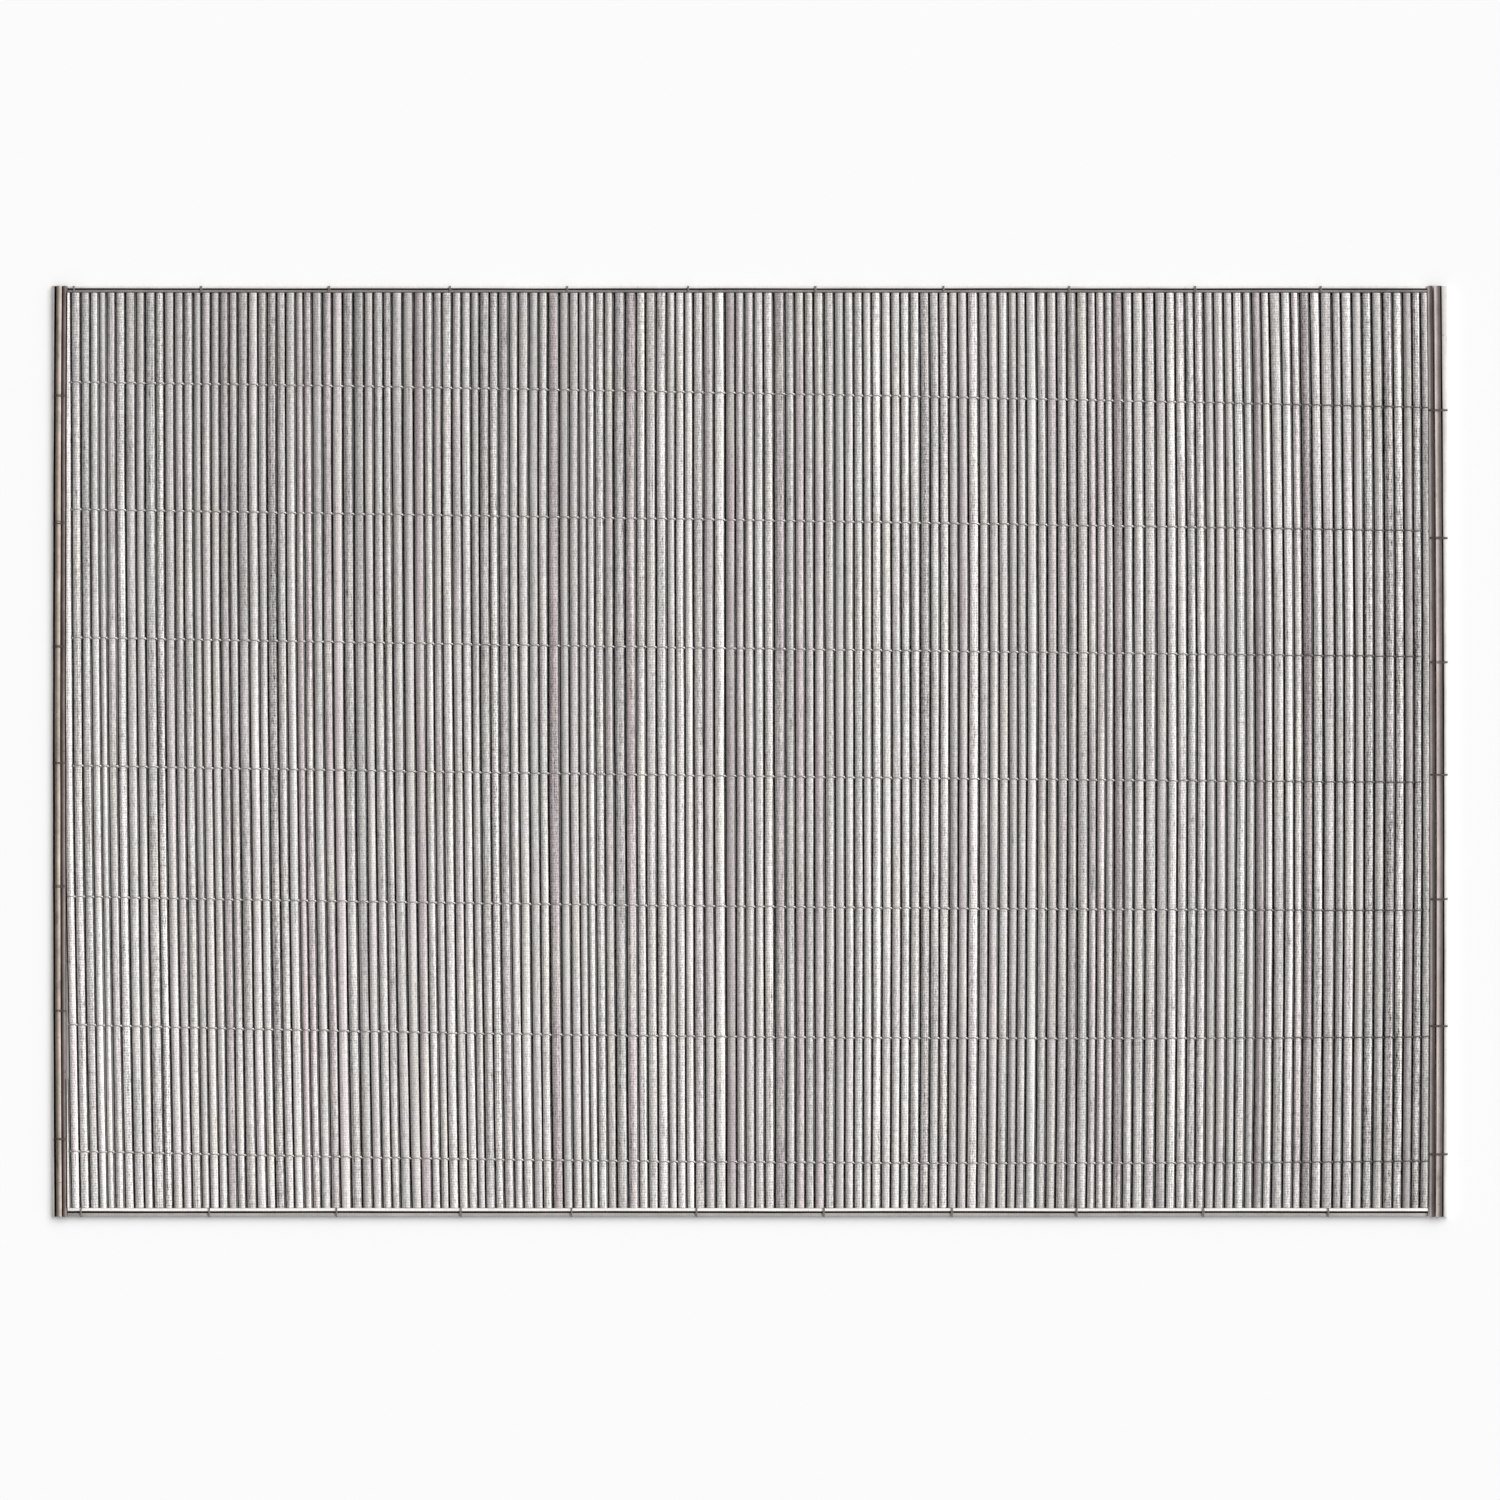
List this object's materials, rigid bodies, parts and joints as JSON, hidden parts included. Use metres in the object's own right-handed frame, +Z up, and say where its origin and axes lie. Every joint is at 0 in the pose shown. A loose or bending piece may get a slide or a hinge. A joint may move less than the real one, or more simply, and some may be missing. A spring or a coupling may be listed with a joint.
{
  "type": "outdoor bamboo rug",
  "caption": "Flat outdoor rug of round grey bamboo sticks twined side by side on rows of thread, edged with brown sticks and thin pale laths tied on with dark thread.",
  "frame": {"origin": "middle of the rug, on the floor that it lies on", "axes": "+X along the long side, +Y along the sticks towards the edge with the thinner laths, +Z up out of the floor"},
  "size_m": [1.8, 1.2, 0.0113],
  "materials": {
    "bamboo_grey": "satin, greyed bamboo with a fine grain along each stick",
    "bamboo_brown": "satin, stained brown",
    "bamboo_dark": "satin, stained dark brown",
    "lath_pale": "matte, pale split bamboo",
    "lath_grey": "matte, greyed split bamboo",
    "twine": "matte twisted thread",
    "tie_thread": "matte twisted thread, dark brown"
  },
  "bodies": {
    "root": {"slat_field": "bamboo_grey", "thread_row_1": "twine", "thread_row_2": "twine", "thread_row_3": "twine", "thread_row_4": "twine", "thread_row_5": "twine", "thread_row_6": "twine", "thread_row_7": "twine", "left_rim_lath": "lath_pale", "left_outer_stick": "bamboo_brown", "left_inner_stick": "bamboo_dark", "right_rim_lath": "lath_pale", "right_outer_stick": "bamboo_brown", "right_inner_stick": "bamboo_dark", "top_outer_lath": "lath_pale", "top_inner_lath": "lath_grey", "bottom_outer_lath": "lath_grey", "bottom_inner_lath": "lath_pale", "left_tie_1": "tie_thread", "left_tie_2": "tie_thread", "left_tie_3": "tie_thread", "left_tie_4": "tie_thread", "left_tie_5": "tie_thread", "left_tie_6": "tie_thread", "left_tie_7": "tie_thread", "right_tie_1": "tie_thread", "right_tie_2": "tie_thread", "right_tie_3": "tie_thread", "right_tie_4": "tie_thread", "right_tie_5": "tie_thread", "right_tie_6": "tie_thread", "right_tie_7": "tie_thread", "top_tie_1": "tie_thread", "top_tie_2": "tie_thread", "top_tie_3": "tie_thread", "top_tie_4": "tie_thread", "top_tie_5": "tie_thread", "top_tie_6": "tie_thread", "top_tie_7": "tie_thread", "top_tie_8": "tie_thread", "top_tie_9": "tie_thread", "top_tie_10": "tie_thread", "top_tie_11": "tie_thread", "bottom_tie_1": "tie_thread", "bottom_tie_2": "tie_thread", "bottom_tie_3": "tie_thread", "bottom_tie_4": "tie_thread", "bottom_tie_5": "tie_thread", "bottom_tie_6": "tie_thread", "bottom_tie_7": "tie_thread", "bottom_tie_8": "tie_thread", "bottom_tie_9": "tie_thread", "bottom_tie_10": "tie_thread", "bottom_tie_11": "tie_thread"}
  },
  "joints": []
}
